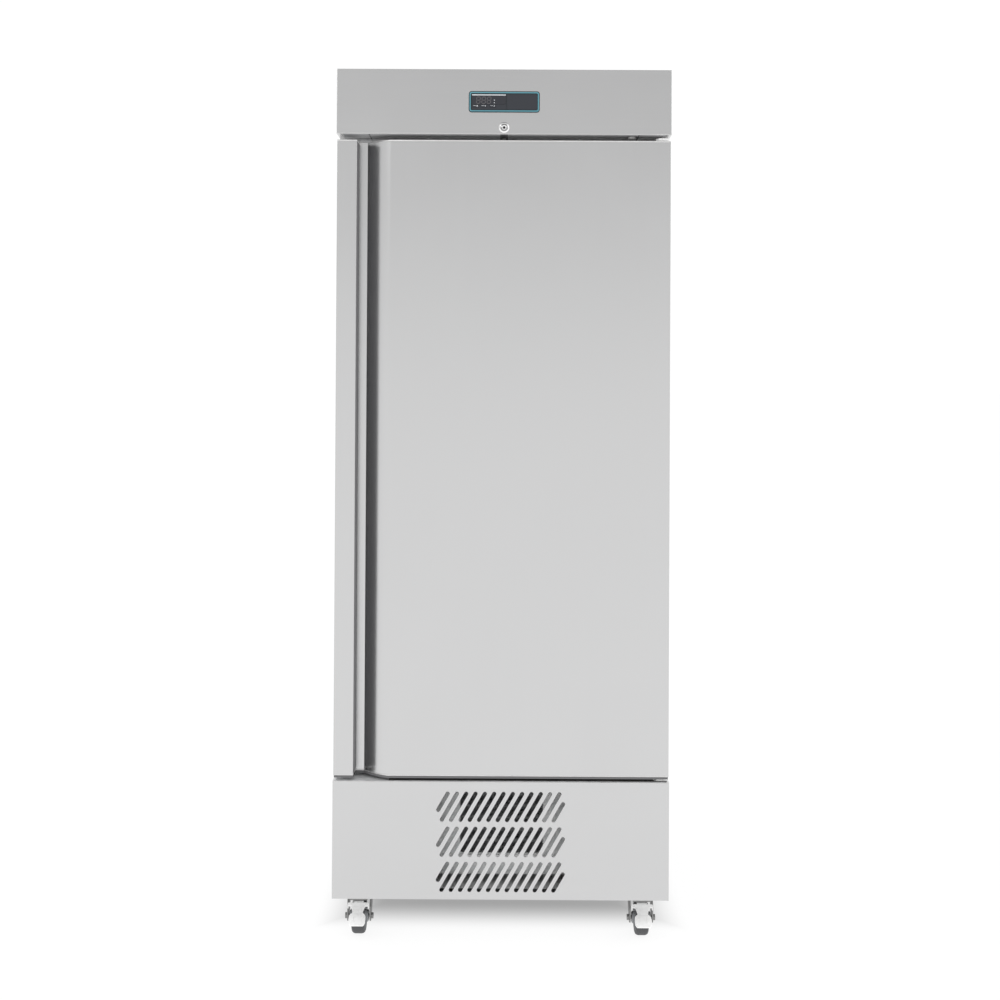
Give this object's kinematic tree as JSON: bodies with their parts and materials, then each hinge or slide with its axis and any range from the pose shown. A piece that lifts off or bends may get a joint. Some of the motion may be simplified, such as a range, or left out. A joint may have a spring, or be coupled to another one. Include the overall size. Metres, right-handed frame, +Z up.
{
  "type": "reach-in refrigerator",
  "caption": "Upright stainless refrigerator cabinet with one solid hinged door, recessed full-height handle, louvred base unit and castors.",
  "frame": {"origin": "on the floor under the middle of the cabinet", "axes": "+Z up, front towards -Y, +X to the right of a person facing the door"},
  "size_m": [0.73, 0.8278, 1.915],
  "materials": {
    "stainless": "satin",
    "stainless_inner": "satin",
    "galvanised": "satin",
    "zinc": "satin",
    "chrome": "polished",
    "foam": "matte",
    "black_plastic": "satin",
    "bezel_plastic": "gloss",
    "window": "gloss",
    "grey_plastic": "matte",
    "white_plastic": "satin",
    "gasket_rubber": "matte",
    "black_rubber": "matte",
    "wheel_rubber": "matte",
    "copper": "satin",
    "aluminium": "satin",
    "black_paint": "satin",
    "plated_wire": "satin"
  },
  "bodies": {
    "cabinet": {"side_skins": "stainless", "top_skin": "galvanised", "back_skin": "galvanised", "front_frame": "stainless", "inner_liner": "stainless_inner", "wall_insulation": "foam", "fascia_panel": "stainless", "controller_bezel": "bezel_plastic", "controller_module": "black_plastic", "display_window": "window", "badge_plate": "window", "lock_barrel": "chrome", "hinge_brackets": "zinc", "hinge_pins": "zinc", "racking_uprights": "stainless_inner", "shelf_runners": "stainless_inner", "wire_shelves": "plated_wire", "evaporator_housing": "stainless_inner", "evaporator_coil": "aluminium", "evaporator_fan_motor": "black_plastic", "drain_tube": "grey_plastic", "temperature_probe": "black_plastic", "louvre_panel": "stainless", "base_side_panels": "stainless", "chassis_tray": "galvanised", "condenser_shroud": "galvanised", "condenser_coil": "aluminium", "condenser_fan_motor": "black_paint", "compressor": "black_paint", "compressor_mounts": "black_rubber", "filter_drier": "copper", "refrigerant_pipes": "copper", "condensate_pan": "black_plastic", "terminal_box": "grey_plastic", "mains_inlet": "black_plastic", "rear_guard": "galvanised", "fixing_screws": "zinc", "castor_plates": "zinc"},
    "door": {"door_outer_skin": "stainless", "door_inner_skin": "stainless_inner", "door_insulation": "foam", "door_gasket": "gasket_rubber", "hinge_bushes": "zinc"},
    "lock_cylinder": {"lock_cylinder": "chrome"},
    "lock_bolt": {"lock_bolt": "zinc"},
    "key_power": {"key_power": "grey_plastic"},
    "key_up": {"key_up": "grey_plastic"},
    "key_down": {"key_down": "grey_plastic"},
    "evaporator_fan": {"evaporator_fan_blade": "black_plastic"},
    "condenser_fan": {"condenser_fan_blade": "aluminium"},
    "castor_fl": {"castor_fork_fl": "zinc"},
    "wheel_fl": {"castor_wheel_fl": "wheel_rubber"},
    "pedal_fl": {"brake_pedal_fl": "zinc"},
    "castor_fr": {"castor_fork_fr": "zinc"},
    "wheel_fr": {"castor_wheel_fr": "wheel_rubber"},
    "pedal_fr": {"brake_pedal_fr": "zinc"},
    "castor_rl": {"castor_fork_rl": "zinc"},
    "wheel_rl": {"castor_wheel_rl": "wheel_rubber"},
    "castor_rr": {"castor_fork_rr": "zinc"},
    "wheel_rr": {"castor_wheel_rr": "wheel_rubber"}
  },
  "joints": [
    {"name": "door_hinge", "type": "hinge", "parent": "cabinet", "child": "door", "pos_m": [0.3465, -0.385, 1.0695], "axis": [0, 0, 1], "range_deg": [0, 100]},
    {"name": "lock_turn", "type": "hinge", "parent": "cabinet", "child": "lock_cylinder", "pos_m": [0, -0.41, 1.7877], "axis": [0, 1, 0], "range_deg": [0, 90]},
    {"name": "lock_bolt_slide", "type": "slide", "parent": "cabinet", "child": "lock_bolt", "axis": [0, 0, -1], "range_m": [0, 0.022]},
    {"name": "evaporator_fan_spin", "type": "hinge", "parent": "cabinet", "child": "evaporator_fan", "pos_m": [0, 0.074, 1.638], "axis": [0, 1, 0], "continuous": true},
    {"name": "condenser_fan_spin", "type": "hinge", "parent": "cabinet", "child": "condenser_fan", "pos_m": [0, -0.2355, 0.24], "axis": [0, 1, 0], "continuous": true},
    {"name": "key_power_press", "type": "slide", "parent": "cabinet", "child": "key_power", "axis": [0, 1, 0], "range_m": [0, 0.0008], "stiffness_N_per_m": 400},
    {"name": "key_down_press", "type": "slide", "parent": "cabinet", "child": "key_down", "axis": [0, 1, 0], "range_m": [0, 0.0008], "stiffness_N_per_m": 400},
    {"name": "key_up_press", "type": "slide", "parent": "cabinet", "child": "key_up", "axis": [0, 1, 0], "range_m": [0, 0.0008], "stiffness_N_per_m": 400},
    {"name": "castor_swivel_fl", "type": "hinge", "parent": "cabinet", "child": "castor_fl", "pos_m": [-0.315, -0.281, 0.1], "axis": [0, 0, 1], "continuous": true},
    {"name": "wheel_spin_fl", "type": "hinge", "parent": "castor_fl", "child": "wheel_fl", "pos_m": [-0.315, -0.311, 0.0375], "axis": [1, 0, 0], "continuous": true},
    {"name": "brake_pedal_fl_turn", "type": "hinge", "parent": "castor_fl", "child": "pedal_fl", "pos_m": [-0.315, -0.315, 0.085], "axis": [-1, 0, 0], "range_deg": [0, 12]},
    {"name": "castor_swivel_fr", "type": "hinge", "parent": "cabinet", "child": "castor_fr", "pos_m": [0.315, -0.281, 0.1], "axis": [0, 0, 1], "continuous": true},
    {"name": "wheel_spin_fr", "type": "hinge", "parent": "castor_fr", "child": "wheel_fr", "pos_m": [0.315, -0.311, 0.0375], "axis": [1, 0, 0], "continuous": true},
    {"name": "brake_pedal_fr_turn", "type": "hinge", "parent": "castor_fr", "child": "pedal_fr", "pos_m": [0.315, -0.315, 0.085], "axis": [-1, 0, 0], "range_deg": [0, 12]},
    {"name": "castor_swivel_rl", "type": "hinge", "parent": "cabinet", "child": "castor_rl", "pos_m": [-0.315, 0.281, 0.1], "axis": [0, 0, 1], "continuous": true},
    {"name": "wheel_spin_rl", "type": "hinge", "parent": "castor_rl", "child": "wheel_rl", "pos_m": [-0.315, 0.311, 0.0375], "axis": [1, 0, 0], "continuous": true},
    {"name": "castor_swivel_rr", "type": "hinge", "parent": "cabinet", "child": "castor_rr", "pos_m": [0.315, 0.281, 0.1], "axis": [0, 0, 1], "continuous": true},
    {"name": "wheel_spin_rr", "type": "hinge", "parent": "castor_rr", "child": "wheel_rr", "pos_m": [0.315, 0.311, 0.0375], "axis": [1, 0, 0], "continuous": true}
  ],
  "couplings": [
    {"joint": "lock_bolt_slide", "follows": "lock_turn", "m_per_rad": 0.013942}
  ]
}
